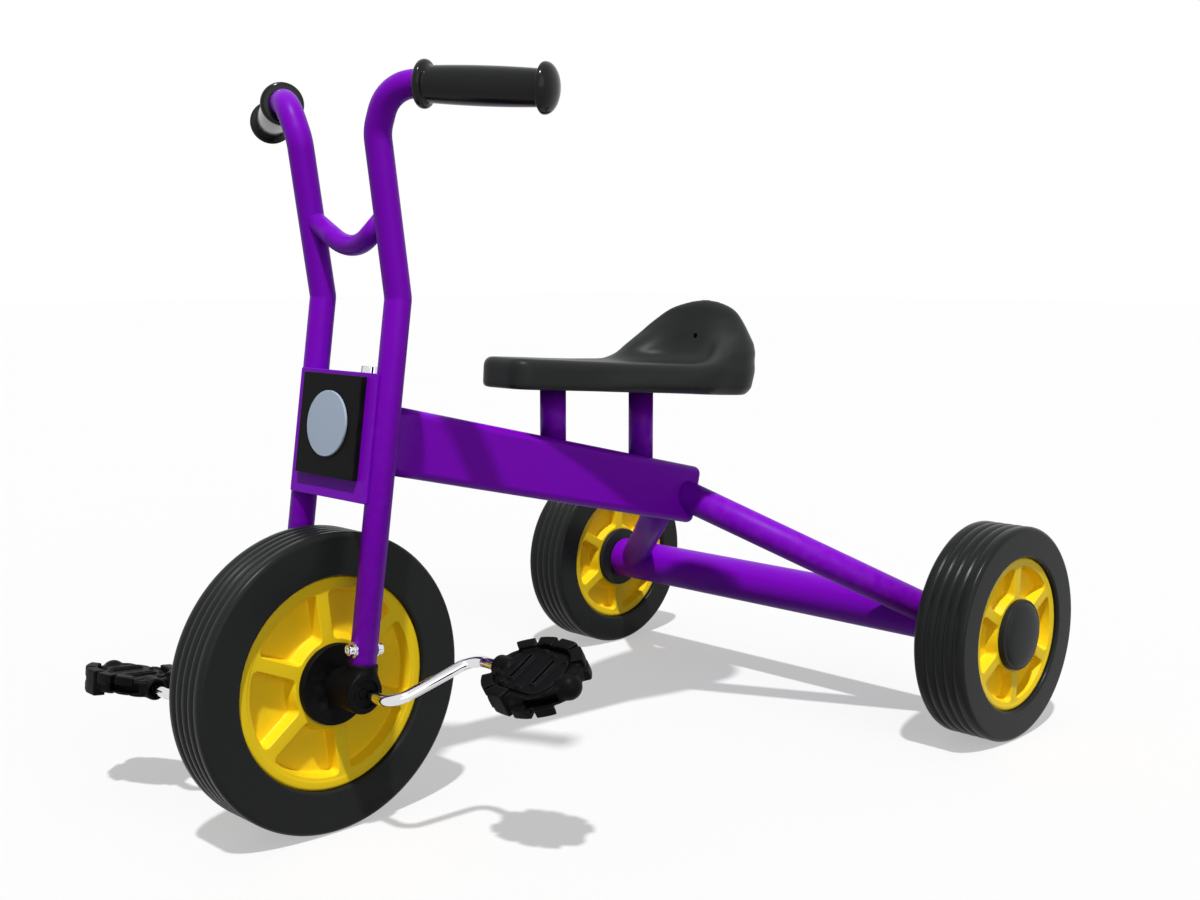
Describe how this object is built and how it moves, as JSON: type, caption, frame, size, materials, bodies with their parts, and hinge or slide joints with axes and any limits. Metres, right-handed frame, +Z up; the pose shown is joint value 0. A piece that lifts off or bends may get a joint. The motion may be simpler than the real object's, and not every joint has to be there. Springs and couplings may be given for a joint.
{
  "type": "toddler tricycle",
  "caption": "Pedal tricycle for a small child: purple tube frame, yellow ribbed wheels with black tyres, black saddle seat, swept handlebar with grips, cranked front wheel.",
  "frame": {"origin": "on the floor under the middle of the overall box", "axes": "+X forward, +Y to the rider's left, +Z up"},
  "size_m": [0.7624, 0.5568, 0.5629],
  "materials": {
    "frame_paint": "gloss",
    "rim_yellow": "satin",
    "tyre_rubber": "satin",
    "grip_rubber": "gloss",
    "seat_plastic": "satin",
    "black_plastic": "satin",
    "lamp_black": "satin",
    "lamp_pale": "satin",
    "bright_metal": "polished"
  },
  "bodies": {
    "frame": {"main_beam": "frame_paint", "head_tube": "frame_paint", "seat_post_front": "frame_paint", "seat_post_rear": "frame_paint", "seat": "seat_plastic", "stay_left": "frame_paint", "stay_right": "frame_paint", "rear_axle_tube": "frame_paint", "rear_axle": "bright_metal"},
    "steering": {"fork_tube_left": "frame_paint", "fork_tube_right": "frame_paint", "handlebar_brace": "frame_paint", "head_box": "frame_paint", "steering_bolt": "bright_metal", "lamp_plate": "lamp_black", "lamp_lens": "lamp_pale", "grip_left": "grip_rubber", "grip_right": "grip_rubber", "axle_housing_left": "black_plastic", "axle_housing_right": "black_plastic"},
    "front_wheel": {"front_tyre": "tyre_rubber", "front_rim": "rim_yellow", "front_hub": "black_plastic", "crank": "bright_metal"},
    "pedal_left": {"pedal_left": "black_plastic"},
    "pedal_right": {"pedal_right": "black_plastic"},
    "rear_wheel_left": {"rear_tyre_left": "tyre_rubber", "rear_rim_left": "rim_yellow", "rear_hub_left": "black_plastic"},
    "rear_wheel_right": {"rear_tyre_right": "tyre_rubber", "rear_rim_right": "rim_yellow", "rear_hub_right": "black_plastic"}
  },
  "joints": [
    {"name": "steering_turn", "type": "hinge", "parent": "frame", "child": "steering", "pos_m": [0.22243, 0, 0.29366], "axis": [-0.1418, 0, 0.9899], "range_deg": [-45, 45]},
    {"name": "front_wheel_spin", "type": "hinge", "parent": "steering", "child": "front_wheel", "pos_m": [0.26725, 0, 0.114], "axis": [0, 1, 0], "continuous": true},
    {"name": "pedal_left_spin", "type": "hinge", "parent": "front_wheel", "child": "pedal_left", "pos_m": [0.20201, 0.169, 0.13646], "axis": [0, 1, 0], "continuous": true},
    {"name": "pedal_right_spin", "type": "hinge", "parent": "front_wheel", "child": "pedal_right", "pos_m": [0.33249, -0.169, 0.09154], "axis": [0, 1, 0], "continuous": true},
    {"name": "rear_wheel_left_spin", "type": "hinge", "parent": "frame", "child": "rear_wheel_left", "pos_m": [-0.28475, 0.2472, 0.0965], "axis": [0, 1, 0], "continuous": true},
    {"name": "rear_wheel_right_spin", "type": "hinge", "parent": "frame", "child": "rear_wheel_right", "pos_m": [-0.28475, -0.2472, 0.0965], "axis": [0, 1, 0], "continuous": true}
  ]
}
